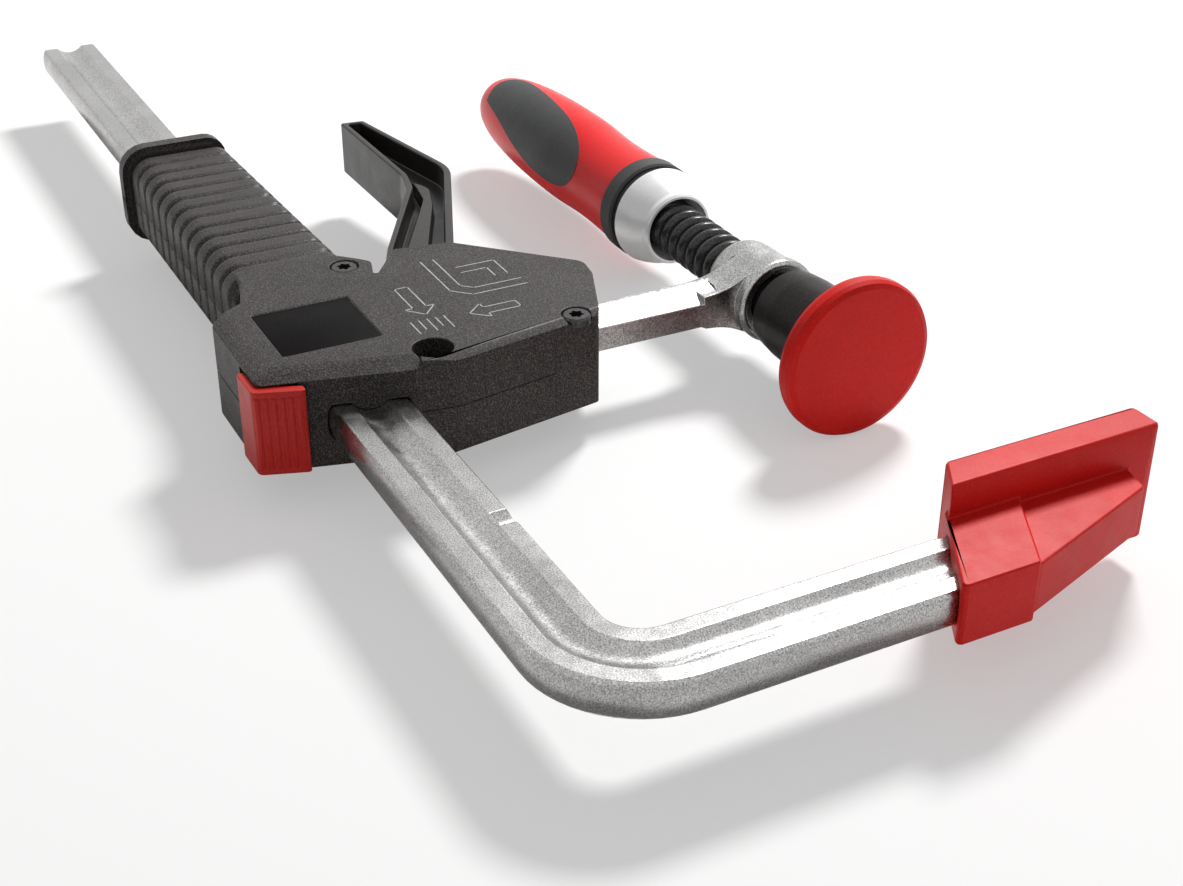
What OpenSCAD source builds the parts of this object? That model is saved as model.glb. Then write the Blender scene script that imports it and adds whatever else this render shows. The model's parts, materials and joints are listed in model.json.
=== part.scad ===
// Quick release bar clamp: trigger-driven sliding arm on a cold-drawn rail, with a
// screw spindle and a swivel pad. Millimetres, +Z up, the clamp lies on its side.
// Working frame: X runs along the rail towards its bend, Y from the rail to the
// spindle, Z = 0 is the clamp's mid-plane. place() moves it all to the row frame.

/* [Rail] */
// Width of the flat rail
rail_w = 22; // [16:0.5:30]
// Thickness of the flat rail
rail_t = 10; // [6:0.5:14]
// Width of the hollow along each wide face
groove_w = 9.6; // [4:0.2:14]
// Depth of that hollow
groove_d = 2.2; // [0.5:0.1:3.5]
// Distance of the rail's free end behind the frame's zero
rail_tail = 424; // [260:1:900]
// Distance of the fixed arm's centre line in front of the frame's zero
arm_x = 49; // [30:1:80]
// Radius of the bend along the centre line
bend_r = 20; // [14:1:40]
// Reach of the fixed arm from the rail's centre line
fixed_reach = 149; // [80:1:220]

/* [Fixed jaw cap] */
// Working face of the cap
jaw_face_x = 27; // [10:0.5:40]
// Thickness of the cap's face plate
jaw_plate_t = 11; // [6:0.5:16]
// Lower and upper end of the working face along the arm
jaw_low = 105.5; // [70:0.5:150]
jaw_high = 165; // [120:0.5:220]
// Height of the face plate
jaw_h = 34; // [22:1:60]
// Wall of the sleeve round the arm
sleeve_wall = 2.4; // [1.5:0.1:4]

/* [Spindle and pad] */
// Distance of the spindle axis from the rail's centre line
spindle_y = 136.6; // [80:0.1:200]
// Outer radius of the thread
thread_r = 9; // [6:0.25:12]
// Radius of the thin neck between thread and ball
neck_r = 4.5; // [3:0.25:6]
// Radius of the ball in the swivel foot
ball_r = 7.5; // [5:0.25:9]
// Place of the ball's centre along the spindle
ball_x = -72; // [-90:0.5:-60]
// Working face of the pad
pad_face_x = -51.6; // [-60:0.1:-40]
// Radius of the pad
pad_r = 24.6; // [16:0.1:32]
// Rear end of the turned handle
handle_end_x = -301; // [-360:1:-260]

/* [Sliding arm] */
// Rear and front side of the forged arm
arm_back_x = -109.8; // [-114:0.1:-104]
arm_front_x = -99; // [-110:0.5:-90]
// Half height of the arm
arm_half = 6; // [4:0.25:9]
// Radius of the eye round the spindle
eye_r = 13.5; // [11:0.25:16]

/* [Housing] */
// Half height of the closed housing
shell_half = 15.5; // [12:0.25:20]
// Wall of the shells
shell_wall = 2.6; // [1.8:0.1:4]
// Number of ribs along the grip
grip_ribs = 13; // [6:1:20]
// Rear end of the grip
grip_end_x = -270; // [-300:1:-240]

/* [Trigger] */
// Pivot of the trigger
trigger_x = -139.5; // [-142:0.5:-137]
trigger_y = 31; // [29:0.5:33]
// Half height of the trigger
trigger_half = 9.4; // [7:0.1:10]
// Radius of the trigger's pivot pin
trigger_pin_r = 3; // [2:0.25:4]
// Radius of the pin that draws the drive plates
drive_pin_r = 2.5; // [1.5:0.25:3]

/* [Release lever] */
// Pivot of the release lever
release_x = -93; // [-93.4:0.1:-92.6]
release_y = -14.8; // [-15.2:0.1:-14.4]
// Half height of its pad
release_half = 12.5; // [10:0.25:12.6]

/* [Hidden] */
$fn = 72;
run_gap = 0.06;
seat_gap = 0.03;
slide_gap = 0.35;
pin_len = 25;

rail_hw = rail_w / 2;
rail_ht = rail_t / 2;
arm_outer_x = arm_x + rail_hw;
sleeve_x = arm_outer_x + sleeve_wall;
bend_x = arm_x - bend_r;
bend_y = bend_r;
jaw_half = jaw_h / 2;
plate_back_x = jaw_face_x + jaw_plate_t;
low_y = -30.7;

// The row frame's origin is the middle of the box's base.
frame_x = (sleeve_x - rail_tail) / 2;
frame_y = (low_y + jaw_high) / 2;

// ---- helpers ---------------------------------------------------------------

module place() {
    translate([-frame_x, -frame_y, pad_r])
        children();
}

module along_x(x0, x1) {
    translate([x0, 0, 0])
        rotate([90, 0, 90])
            linear_extrude(height = x1 - x0)
                children();
}

module along_y(y0, y1) {
    translate([0, y1, 0])
        rotate([90, 0, 0])
            linear_extrude(height = y1 - y0)
                children();
}

// A band of height along Z, from z0 to z1.
module band(z0, z1) {
    translate([0, 0, z0])
        linear_extrude(height = z1 - z0)
            children();
}

module block(x0, x1, y0, y1, z0, z1) {
    translate([x0, y0, z0])
        cube([x1 - x0, y1 - y0, z1 - z0]);
}

module rod_x(x0, x1, r) {
    translate([x0, 0, 0])
        rotate([0, 90, 0])
            cylinder(r = r, h = x1 - x0);
}

module on_spindle() {
    translate([0, spindle_y, 0])
        children();
}

// Profile points are [x, radius] pairs, turned about the spindle axis.
module turned(profile) {
    on_spindle()
        rotate([0, 90, 0])
            rotate_extrude()
                polygon([for (p = profile) [p[1], p[0]]]);
}

function arc(centre, r, a0, a1, n) =
    [for (i = [0 : n]) let (a = a0 + (a1 - a0) * i / n) centre + r * [cos(a), sin(a)]];

// One rounded corner at q between its neighbours p and s.
function corner(p, q, s, r, n) =
    let (v = (p - q) / norm(p - q),
         w = (s - q) / norm(s - q),
         half = acos(v * w) / 2,
         c = q + (v + w) / norm(v + w) * r / sin(half),
         a = q + v * r / tan(half) - c,
         b = q + w * r / tan(half) - c,
         a0 = atan2(a[1], a[0]),
         turn = (atan2(b[1], b[0]) - a0 + 900) % 360 - 180)
    [for (i = [0 : n]) let (t = a0 + turn * i / n) c + r * [cos(t), sin(t)]];

// Outline with corners given as [x, y, radius].
function rounded(pts, n = 5) =
    let (m = len(pts))
    [for (i = [0 : m - 1])
        let (p = pts[(i + m - 1) % m], q = pts[i], s = pts[(i + 1) % m])
        each (q[2] == 0 ? [[q[0], q[1]]]
            : corner([p[0], p[1]], [q[0], q[1]], [s[0], s[1]], q[2], n))];

function box_outline(x0, x1, y0, y1, r) =
    [[x0, y0, r], [x1, y0, r], [x1, y1, r], [x0, y1, r]];

// Smooth curve through the points, n steps between neighbours.
function through(pts, n) =
    let (m = len(pts) - 1)
    [for (i = [0 : m - 1], k = [0 : n - 1])
        let (a = pts[max(i - 1, 0)], b = pts[i], c = pts[i + 1], d = pts[min(i + 2, m)], t = k / n)
        0.5 * (2 * b + t * (c - a) + t * t * (2 * a - 5 * b + 4 * c - d)
            + t * t * t * (3 * b - a - 3 * c + d))];

// Coil along X: one unbroken tube of six sides and eight rings a turn.
rings_per_turn = 8;
tube_sides = 6;
module coil(length, mean_r, wire_r, turns) {
    rings = rings_per_turn * turns;
    lead = (length - 2 * wire_r) / turns;
    points = [for (i = [0 : rings], k = [0 : tube_sides - 1])
        let (a = 360 * i / rings_per_turn,
             b = 360 * k / tube_sides,
             r = mean_r + wire_r * cos(b))
        [wire_r + lead * i / rings_per_turn + wire_r * sin(b), r * cos(a), r * sin(a)]];
    last = rings * tube_sides;
    sides = [for (i = [0 : rings - 1], k = [0 : tube_sides - 1])
        let (j = (k + 1) % tube_sides, a = i * tube_sides, b = a + tube_sides)
        each [[a + k, b + k, a + j], [a + j, b + k, b + j]]];
    ends = [for (k = [1 : tube_sides - 2])
        each [[0, k, k + 1], [last, last + k + 1, last + k]]];
    echo(coil_gap = lead - 2 * wire_r);
    polyhedron(points = points, faces = concat(sides, ends), convexity = 8);
}

// ---- rail and fixed jaw ----------------------------------------------------

edge_flat = 1.3;
edge_drop = 1.2;
side_bulge = 0.6;
groove_r = (groove_w * groove_w / 4 + groove_d * groove_d) / (2 * groove_d);
groove_a = asin(groove_w / 2 / groove_r);
bulge_r = (pow(rail_ht - edge_drop, 2) + side_bulge * side_bulge) / (2 * side_bulge);
bulge_a = asin((rail_ht - edge_drop) / bulge_r);

// Rail section: two flats with an arc-shaped hollow between them, rounded sides.
rail_section = concat(
    [[rail_hw - edge_flat, rail_ht]],
    arc([0, rail_ht - groove_d + groove_r], groove_r, -90 + groove_a, -90 - groove_a, 8),
    [[-rail_hw + edge_flat, rail_ht]],
    arc([-rail_hw + bulge_r, 0], bulge_r, 180 - bulge_a, 180 + bulge_a, 4),
    [[-rail_hw + edge_flat, -rail_ht]],
    arc([0, -rail_ht + groove_d - groove_r], groove_r, 90 + groove_a, 90 - groove_a, 8),
    [[rail_hw - edge_flat, -rail_ht]],
    arc([rail_hw - bulge_r, 0], bulge_r, -bulge_a, bulge_a, 4));

// The same section with a gap all round it, for what the rail passes through.
function grown_section(gap) =
    [for (p = rail_section) [p[0] * (1 + gap / rail_hw), p[1] * (1 + gap / rail_ht)]];

notch_x = -16.5;
notch_r = 3.2;
notch_d = 2.4;
tip_cut_y = 107;
tip_end_x = arm_x - 4.5;

// What is taken off the arm's outer side to taper its tip.
module arm_tip_cut(gap) {
    translate([gap, 0, 0])
        band(-rail_t, rail_t)
            polygon([[arm_outer_x + 1, tip_cut_y], [arm_outer_x + 1, fixed_reach + 1],
                [tip_end_x, fixed_reach + 1], [arm_outer_x, tip_cut_y]]);
}

module rail() {
    color([0.72, 0.72, 0.7])
        difference() {
            union() {
                along_x(-rail_tail, bend_x)
                    mirror([1, 0, 0])
                        polygon(rail_section);
                translate([bend_x, bend_y, 0])
                    rotate([0, 0, -90])
                        rotate_extrude(angle = 90)
                            translate([bend_r, 0])
                                polygon(rail_section);
                along_y(bend_y, fixed_reach)
                    translate([arm_x, 0])
                        polygon(rail_section);
            }
            // stop notch across the inner flat
            translate([notch_x, rail_hw - 5.4, rail_ht + notch_r - notch_d])
                rotate([-90, 0, 0])
                    cylinder(r = notch_r, h = 12, $fn = 36);
            arm_tip_cut(0);
        }
}

sleeve_half = 8.5;
wedge_half = 7;
jaw_bevel = 4.8;
jaw_bevel_d = 1.3;
jaw_slant = 6.5;

module jaw_cap() {
    color([0.8, 0.08, 0.08])
        difference() {
            union() {
                intersection() {
                    along_y(jaw_low - jaw_slant - 1, jaw_high + 1)
                        polygon(rounded([[jaw_face_x, -jaw_half, 0.8],
                            [plate_back_x - jaw_bevel_d, -jaw_half, 0.6],
                            [plate_back_x, -jaw_half + jaw_bevel, 0],
                            [plate_back_x, jaw_half - jaw_bevel, 0],
                            [plate_back_x - jaw_bevel_d, jaw_half, 0.6],
                            [jaw_face_x, jaw_half, 0.8]], 3));
                    band(-jaw_half, jaw_half)
                        polygon(rounded([[jaw_face_x, jaw_low, 0.8],
                            [plate_back_x, jaw_low - jaw_slant, 0],
                            [plate_back_x, jaw_high - jaw_bevel, 0],
                            [plate_back_x - jaw_bevel_d, jaw_high, 1],
                            [jaw_face_x, jaw_high, 1.5]], 3));
                }
                // sleeve round the arm, cut aslant at both ends
                band(-sleeve_half, sleeve_half)
                    polygon(rounded([[plate_back_x - 3, 100, 0], [plate_back_x, 98.5, 0],
                        [sleeve_x, 84.5, 1.2], [sleeve_x, 107, 0.8], [plate_back_x - 3, 122, 0]], 3));
                // lower wedge that carries the tip of the plate
                band(-wedge_half, wedge_half)
                    polygon(rounded([[plate_back_x - 3, 104, 0], [sleeve_x - 1, 104, 0],
                        [sleeve_x - 1, 108.5, 0.5], [47.6, 150, 1.5], [46.5, 153, 1],
                        [plate_back_x - 3, 156, 0]], 3));
            }
            // pocket for the arm
            difference() {
                along_y(80, fixed_reach + run_gap)
                    translate([arm_x, 0])
                        polygon(grown_section(run_gap));
                arm_tip_cut(run_gap);
            }
        }
}

// ---- housing ---------------------------------------------------------------

shell_outline = [[-92, -28.6, 2.5], [-81.5, 12, 6], [-79.8, 24, 12], [-87.2, 70.5, 4],
    [-111, 80.5, 3], [-119.5, 81.8, 5], [-150, 52, 2], [-153, 34.5, 1.5], [-136, 21.8, 0.8],
    [-148, 25.5, 2.5], [-156.5, 17, 0], [-158, -13, 0], [-150, -14, 3], [-137.5, -18, 3],
    [-131.5, -28.6, 4]];
cavity_outline = [[-95, -26, 1], [-92, -22, 0], [-84.3, 12, 3], [-82.6, 24, 9],
    [-89.6, 68, 2], [-111, 77.4, 2], [-118.6, 78.6, 3], [-147, 50.6, 1], [-150, 36, 1],
    [-141, 26, 0], [-141, -13.9, 1], [-134.5, -14.4, 2], [-130.5, -18, 0.5],
    [-130.5, -26, 1]];
cavity_top = shell_half - shell_wall;
passage_y = rail_hw + slide_gap;
passage_z = rail_ht + slide_gap;
grip_y0 = -15.5;
grip_y1 = 17.2;
flange_y1 = 18.6;
grip_half = 13.6;
grip_start_x = -156;
rib_pitch = (grip_start_x - grip_end_x - 6) / grip_ribs;
rib_rise = 0.9;
rib_len = 4.6;
flange_len = 4.5;
flange_rise = 3.4;
bush_len = 9;
bush_wall = 1.6;

screw_r = 2.5;
head_r = 4.2;
head_h = 2.6;
corner_screw = [-88.6, 63.8];
neck_screw = [-148, 17];
well_screw = [-87.6, 19.8];
well_r = 5.7;
well_floor = 5.5;
screws = [corner_screw, neck_screw, well_screw];

label_x0 = -128.5;
label_x1 = -100.5;
label_y0 = -18;
label_y1 = 10.5;
label_depth = 0.5;

spring_z = 9.3;
spring_r = 2.8;
spring_wire = 0.45;
spring_pocket = 3.5;
spring_back_x = -152;

// One closed ring of the grip's section between x0 and x1, grown by rise; the side
// that faces the trigger lies at y1 and has the smaller corners.
module grip_ring(x0, x1, rise, r, y1) {
    half = grip_half + rise;
    along_x(x0, x1)
        polygon(rounded([[grip_y0 - rise, -half, r], [y1, -half, r - 2.5],
            [y1, half, r - 2.5], [grip_y0 - rise, half, r]]));
}

// Both shells as one block, without the hollow.
module shell_body() {
    difference() {
        band(-shell_half, shell_half)
            polygon(rounded(shell_outline, 4));
        for (side = [0, 1])
            mirror([0, 0, side]) {
                // wide bevel of the side that holds the release lever
                along_x(-170, -60)
                    polygon([[-30, 13.3], [-23.2, shell_half], [-23.2, shell_half + 2],
                        [-30, shell_half + 2]]);
                // wide bevel of the slanted front, left of the well
                translate([-88.4, -9, 0])
                    rotate([0, 0, -15])
                        along_y(-24, 24)
                            polygon([[2, 13], [-4.3, shell_half], [-4.3, shell_half + 2],
                                [8, shell_half + 2], [8, 13]]);
                // narrow bevel of the front, right of the well
                translate([-80.2, 24, 0])
                    rotate([0, 0, 9])
                        along_y(-16, 60)
                            polygon([[0.8, 13.6], [-2.2, shell_half], [-2.2, shell_half + 2],
                                [4, shell_half + 2], [4, 13.6]]);
            }
    }
    grip_ring(grip_end_x + 1, grip_start_x + 4, 0, 6.5, grip_y1);
    for (i = [0 : grip_ribs - 1]) {
        x = grip_end_x + flange_len + 2 + (i + 0.5) * rib_pitch;
        grip_ring(x - rib_len / 2, x + rib_len / 2, rib_rise / 2, 6.8, grip_y1 + rib_rise / 2);
        grip_ring(x - rib_len / 4, x + rib_len / 4, rib_rise, 7, grip_y1 + rib_rise);
    }
    grip_ring(grip_end_x, grip_end_x + flange_len, flange_rise, 9, flange_y1);
    grip_ring(grip_end_x + flange_len, grip_end_x + flange_len + 1.2, flange_rise / 2, 7.5,
        (grip_y1 + flange_y1) / 2);
}

// Room that is cut out of the body on both sides of the parting plane.
module shell_room() {
    difference() {
        band(-cavity_top, cavity_top)
            polygon(rounded(cavity_outline, 3));
        for (s = [corner_screw, well_screw])
            translate([s[0], s[1], -shell_half])
                cylinder(r = s == well_screw ? well_r + 1.4 : 5.2, h = 2 * shell_half);
    }
    // rail passage, close to the rail's section in the front wall, and the seat of the bush
    block(grip_end_x - 1, -95, -passage_y, passage_y, -passage_z, passage_z);
    along_x(-96, -60)
        polygon(grown_section(slide_gap));
    block(grip_end_x - 1, grip_end_x + bush_len, -passage_y - bush_wall, passage_y + bush_wall,
        -passage_z - bush_wall, passage_z + bush_wall);
    // way out of the sliding arm
    block(arm_back_x - 0.1, arm_front_x + 0.1, 60, 90, -arm_half - 0.1, arm_half + 0.1);
    // spring pockets over and under the rail
    for (z = [-spring_z, spring_z])
        translate([0, 0, z])
            rod_x(spring_back_x, -140, spring_pocket);
    // slot that the trigger swings in
    band(-trigger_half - 0.5, trigger_half + 0.5)
        polygon([[-138, 18.8], [-160, 20.5], [-166, 30], [-160, 62], [-150, 62], [-143, 48]]);
    // window of the release lever
    band(-release_half - 0.4, release_half + 0.4)
        polygon([[-106, -34], [-106, -26], [-95, -26], [-92, -17.6], [-80, -17.6], [-80, -34]]);
    // room for its knuckle
    translate([release_x, release_y, -5.4])
        cylinder(r = knuckle_r + 0.6, h = 10.8);
    block(-97.2, release_x + 2.6, -19, release_y, -5.4, 5.4);
}

// Bosses that reach into the room and hold the pins.
module shell_bosses() {
    for (z = [-cavity_top - 0.5, trigger_half + 0.3])
        translate([trigger_x, trigger_y, z])
            cylinder(r = trigger_pin_r + 2, h = cavity_top + 0.2 - trigger_half);
}

module screw_holes() {
    for (s = screws)
        translate([s[0], s[1], -shell_half + 3])
            cylinder(r = screw_r + seat_gap, h = 2 * shell_half);
    for (s = [corner_screw, neck_screw])
        translate([s[0], s[1], shell_half - head_h])
            cylinder(r = head_r + 0.1, h = head_h + 1);
    translate([well_screw[0], well_screw[1], well_floor])
        cylinder(r = well_r, h = shell_half);
}

module pin_holes() {
    translate([trigger_x, trigger_y, -pin_len / 2])
        cylinder(r = trigger_pin_r + seat_gap, h = pin_len);
    translate([release_x, release_y, -10])
        cylinder(r = release_pin_r + seat_gap, h = 20);
}

module shells() {
    difference() {
        union() {
            difference() {
                shell_body();
                shell_room();
            }
            shell_bosses();
        }
        screw_holes();
        pin_holes();
    }
}

module housing_upper() {
    color([0.16, 0.16, 0.17])
        difference() {
            intersection() {
                shells();
                block(-300, -60, -40, 100, 0, 30);
            }
            band(shell_half - label_depth, shell_half + 1)
                polygon(rounded(box_outline(label_x0, label_x1, label_y0, label_y1, 0.8)));
        }
}

module housing_lower() {
    color([0.14, 0.14, 0.15])
        intersection() {
            shells();
            block(-300, -60, -40, 100, -30, 0);
        }
}

module grip_bush() {
    color([0.1, 0.1, 0.11])
        difference() {
            block(grip_end_x, grip_end_x + bush_len, -passage_y - bush_wall, passage_y + bush_wall,
                -passage_z - bush_wall, passage_z + bush_wall);
            block(grip_end_x - 1, grip_end_x + bush_len + 1, -rail_hw - 0.12, rail_hw + 0.12,
                -rail_ht - 0.12, rail_ht + 0.12);
        }
}

module housing_screws() {
    color([0.2, 0.2, 0.21])
        for (s = screws) {
            top = s == well_screw ? well_floor + head_h : shell_half - 0.2;
            translate([s[0], s[1], 0])
                difference() {
                    union() {
                        translate([0, 0, -shell_half + 3.2])
                            cylinder(r = screw_r, h = top + shell_half - 4);
                        translate([0, 0, top - head_h + 0.2])
                            cylinder(r = head_r, h = head_h - 0.2);
                    }
                    translate([0, 0, top - 1.6])
                        cylinder(r = 2, h = 2, $fn = 6);
                }
        }
}

module trigger_pin() {
    color([0.7, 0.7, 0.7])
        translate([trigger_x, trigger_y, -pin_len / 2 + 0.1])
            cylinder(r = trigger_pin_r, h = pin_len - 0.2);
}

release_pin_r = 1.5;
module release_pin() {
    color([0.7, 0.7, 0.7])
        translate([release_x, release_y, -9.9])
            cylinder(r = release_pin_r, h = 19.8);
}

// ---- sliding arm -----------------------------------------------------------

root_back_x = -116;
root_front_x = -101.2;
root_half = 10.6;
eye_back_x = -120;
eye_front_x = -95.2;
thread_bore_r = thread_r + run_gap;
flare = [[112, 5.4], [117, 5.9], [122, 7.2], [127, 9.6], [131, 11.4]];

module sliding_arm() {
    color([0.66, 0.66, 0.64])
        difference() {
            union() {
                // root that straddles the rail
                block(root_back_x, root_front_x, -16.6, 22, -root_half, root_half);
                band(-arm_half, arm_half)
                    polygon([[root_back_x, 20], [root_front_x - 2, 20], [arm_front_x - 5, 54],
                        [arm_back_x + 1, 54], [root_back_x, 42]]);
                // arm with a broad bevel on its front edges
                along_y(20, spindle_y)
                    polygon([[arm_back_x, -arm_half + 1.4], [arm_back_x + 1, -arm_half],
                        [arm_front_x - 3, -arm_half], [arm_front_x, -arm_half + 1.6],
                        [arm_front_x, 3], [arm_front_x - 7.5, arm_half],
                        [arm_back_x + 0.6, arm_half], [arm_back_x, arm_half - 0.6]]);
                // flare into the eye
                along_x(arm_back_x - 1.2, arm_front_x)
                    polygon(concat(through(flare, 4), [[134, 11.6], [134, -11.6]],
                        through([for (i = [len(flare) - 1 : -1 : 0]) [flare[i][0], -flare[i][1]]], 4)));
                // eye with a domed back
                turned(concat([[eye_back_x, 0], [eye_back_x, 9.8]],
                    through([[eye_back_x + 0.3, 10.3], [-118.3, 11.5], [-116, 12.3], [-112, 12.6]], 4),
                    [[-103, 12.6], [-99, eye_r], [eye_front_x - 1, eye_r],
                    [eye_front_x, eye_r - 1], [eye_front_x, 0]]));
            }
            block(root_back_x - 1, arm_front_x + 1, -rail_hw - 0.3, rail_hw + 0.3,
                -rail_ht - 0.3, rail_ht + 0.3);
            on_spindle()
                rod_x(eye_back_x - 5, eye_front_x + 5, thread_bore_r);
            // seat that leaves the foot's rim room to swing
            on_spindle()
                rod_x(eye_front_x - 1.6, eye_front_x + 5, eye_r - 2.2);
        }
}

// ---- drive and lock --------------------------------------------------------

plate_t = 2.8;
drive_front_x = -125;
drive_gap = 0.4;
drive_back_x = drive_front_x - 2 * plate_t - drive_gap;

module plate_window(x0, x1) {
    block(x0, x1, -rail_hw - 0.3, rail_hw + 0.3, -rail_ht - 0.3, rail_ht + 0.3);
}

module drive_plates() {
    color([0.45, 0.45, 0.46])
        for (x = [drive_back_x, drive_front_x - plate_t])
            difference() {
                along_x(x, x + plate_t)
                    polygon([[-13.8, -12.4], [16, -12.4], [18, -4.8], [53, -4.8],
                        [53, 4.8], [18, 4.8], [16, 12.4], [-13.8, 12.4]]);
                plate_window(x - 1, x + plate_t + 1);
            }
}

module drive_springs() {
    color([0.6, 0.6, 0.6])
        for (z = [-spring_z, spring_z])
            translate([spring_back_x + 0.05, 0, z])
                coil(drive_back_x - spring_back_x - 0.1, spring_r, spring_wire, 9);
}

lock_back_x = -99.8;
lock_fulcrum = [-98.4, 16.2];
lock_lean = 1.8;

module lock_plate() {
    color([0.45, 0.45, 0.46])
        translate([lock_fulcrum[0], lock_fulcrum[1], 0])
            rotate([0, 0, lock_lean])
                translate([-lock_fulcrum[0], -lock_fulcrum[1], 0])
                    difference() {
                        along_x(lock_back_x, lock_back_x + plate_t)
                            polygon([[-25.6, -5], [-19, -12], [16.6, -12], [16.6, 12],
                                [-19, 12], [-25.6, 5]]);
                        block(lock_back_x - 1, lock_back_x + plate_t + 1, -rail_hw - 0.55,
                            rail_hw + 0.4, -rail_ht - 0.3, rail_ht + 0.3);
                    }
}

lock_spring_y = -21.6;
lock_spring_back = -130.45;
lock_seat_x = lock_back_x + (lock_fulcrum[1] - lock_spring_y) * tan(lock_lean);
lock_spring_len = lock_seat_x - lock_spring_back - 0.1;
module lock_spring() {
    color([0.6, 0.6, 0.6])
        translate([lock_spring_back, lock_spring_y, 0])
            coil(lock_spring_len, spring_r, spring_wire, 12);
}

// ---- trigger ---------------------------------------------------------------

trigger_outline = [[-136, 22.6, 4], [-150, 30, 0], [-167.5, 38, 20], [-209.5, 61.5, 8],
    [-222, 64.6, 14], [-278.5, 63.8, 1], [-277.4, 72.3, 1.2], [-221.2, 82.6, 20],
    [-162.5, 58.2, 0], [-146, 51, 6], [-126, 54, 4], [-116.9, 52.5, 4], [-117.6, 43.6, 4],
    [-128, 40, 3], [-132.2, 27, 5]];
pocket_outline = [[-156, 34.6, 1], [-168, 40.4, 18], [-210.5, 64.3, 8], [-222, 66.8, 14],
    [-276.4, 66, 0.8], [-275.6, 70.6, 0.8], [-222, 80.2, 18], [-163, 55.6, 0], [-152, 51, 1]];
rib_outline = [[-155, 38.2, 0], [-168.5, 44.4, 18], [-205.5, 65.6, 8], [-216, 67.5, 0],
    [-222, 68, 0.5], [-214, 71.6, 8], [-200, 67, 12], [-164, 50, 0], [-153, 46, 0]];
web_half = 1.6;
rib_half = 6.4;
drive_pin = [-122.4, 48];

module trigger_lever() {
    color([0.12, 0.12, 0.13])
        difference() {
            union() {
                difference() {
                    band(-trigger_half, trigger_half)
                        polygon(rounded(trigger_outline));
                    for (side = [0, 1])
                        mirror([0, 0, side])
                            band(web_half, trigger_half + 1)
                                polygon(rounded(pocket_outline));
                }
                band(-rib_half, rib_half)
                    polygon(rounded(rib_outline));
            }
            // slot between the cheeks for the drive plates
            band(-5.3, 5.3)
                polygon([[-146.5, 15], [-146.5, 60], [-110, 60], [-110, 15]]);
            translate([trigger_x, trigger_y, -15])
                cylinder(r = trigger_pin_r + run_gap, h = 30);
            translate([drive_pin[0], drive_pin[1], -15])
                cylinder(r = drive_pin_r + seat_gap, h = 30);
        }
}

module drive_pin() {
    color([0.7, 0.7, 0.7])
        translate([drive_pin[0], drive_pin[1], -trigger_half])
            cylinder(r = drive_pin_r, h = 2 * trigger_half);
}

// ---- release lever ---------------------------------------------------------

knuckle_r = 2.4;
module release_lever() {
    color([0.82, 0.1, 0.08])
        difference() {
            union() {
                // ribbed pad that wraps round the corner
                band(-release_half, release_half)
                    polygon(rounded([[-85.2, -17, 1], [-89.9, -30.6, 2.2], [-102.5, low_y, 0.8],
                        [-102.5, -28.8, 0.4], [-96, -27.4, 0], [-92.4, -26, 0], [-88.4, -17, 0.5]], 4));
                // neck to the pivot, with the finger that meets the lock plate
                band(-5, 5)
                    polygon([[-92, -27], [-95.5, -24.4], [-95.5, -22.6], [-94.4, -20.6],
                        [-95.2, -15.5], [-91.2, -15.5], [-90.8, -18.4], [-88.6, -20]]);
                translate([release_x, release_y, -5])
                    cylinder(r = knuckle_r, h = 10);
            }
            translate([release_x, release_y, -15])
                cylinder(r = release_pin_r + run_gap, h = 30);
        }
}

// ---- spindle, handle and pad -----------------------------------------------

rod_front_x = -96;
tang_r = 6;
tang_front_x = -178;
tang_back_x = -280;
ferrule_front_x = -157.3;
ferrule_back_x = -171.5;
ring_front_x = -174.5;
ring_back_x = -182;

module spindle() {
    color([0.13, 0.13, 0.14])
        union() {
            turned([[tang_back_x, 0], [tang_back_x, tang_r - 1], [tang_back_x + 1, tang_r],
                [tang_front_x, tang_r], [tang_front_x, thread_r], [rod_front_x - 1, thread_r],
                [rod_front_x, thread_r - 1], [rod_front_x, neck_r], [ball_x, neck_r], [ball_x, 0]]);
            translate([ball_x, spindle_y, 0])
                rotate([0, 90, 0])
                    sphere(r = ball_r);
        }
}

module handle_ferrule() {
    color([0.85, 0.85, 0.84])
        difference() {
            turned(concat([[ferrule_back_x, 0], [ferrule_back_x, 16.2]],
                through([[ferrule_back_x + 0.5, 16.7], [-169, 16.2], [-165.2, 15], [-161.8, 13.4],
                    [-159.6, 12.2]], 4),
                [[ferrule_front_x - 0.8, 12.3], [ferrule_front_x, 11.7], [ferrule_front_x, 0]]));
            on_spindle()
                rod_x(ferrule_back_x - 1, -150, thread_r + seat_gap);
            // mouth that swallows the end of the thread
            turned([[-166, 0], [-166, thread_r], [ferrule_front_x - 2, 10.9],
                [ferrule_front_x + 1, 11], [ferrule_front_x + 1, 0]]);
        }
}

module handle_washer() {
    color([0.05, 0.05, 0.05])
        difference() {
            on_spindle()
                rod_x(ring_front_x + seat_gap, ferrule_back_x - seat_gap, 15.7);
            on_spindle()
                rod_x(ring_front_x - 1, ferrule_back_x + 1, thread_r + 0.4);
        }
}

module handle_ring() {
    color([0.2, 0.2, 0.21])
        difference() {
            turned([[ring_back_x, 0], [ring_back_x, 16.3], [ring_back_x + 0.8, 16.9],
                [ring_front_x - 0.7, 16.9], [ring_front_x, 16.2], [ring_front_x, 0]]);
            on_spindle()
                rod_x(ring_back_x - 1, ring_front_x + 1, thread_r + 0.4);
        }
}

handle_keys = [[ring_back_x, 16.3], [-195, 15.7], [-210, 15.6], [-230, 16.5], [-256, 16],
    [-276, 14.4], [-289, 12.1], [-296.3, 9.2], [-300.2, 5.1], [handle_end_x, 0]];
inlay_depth = 1.8;
inlay_rise = 0.15;
inlay_turn = 50;

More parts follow.
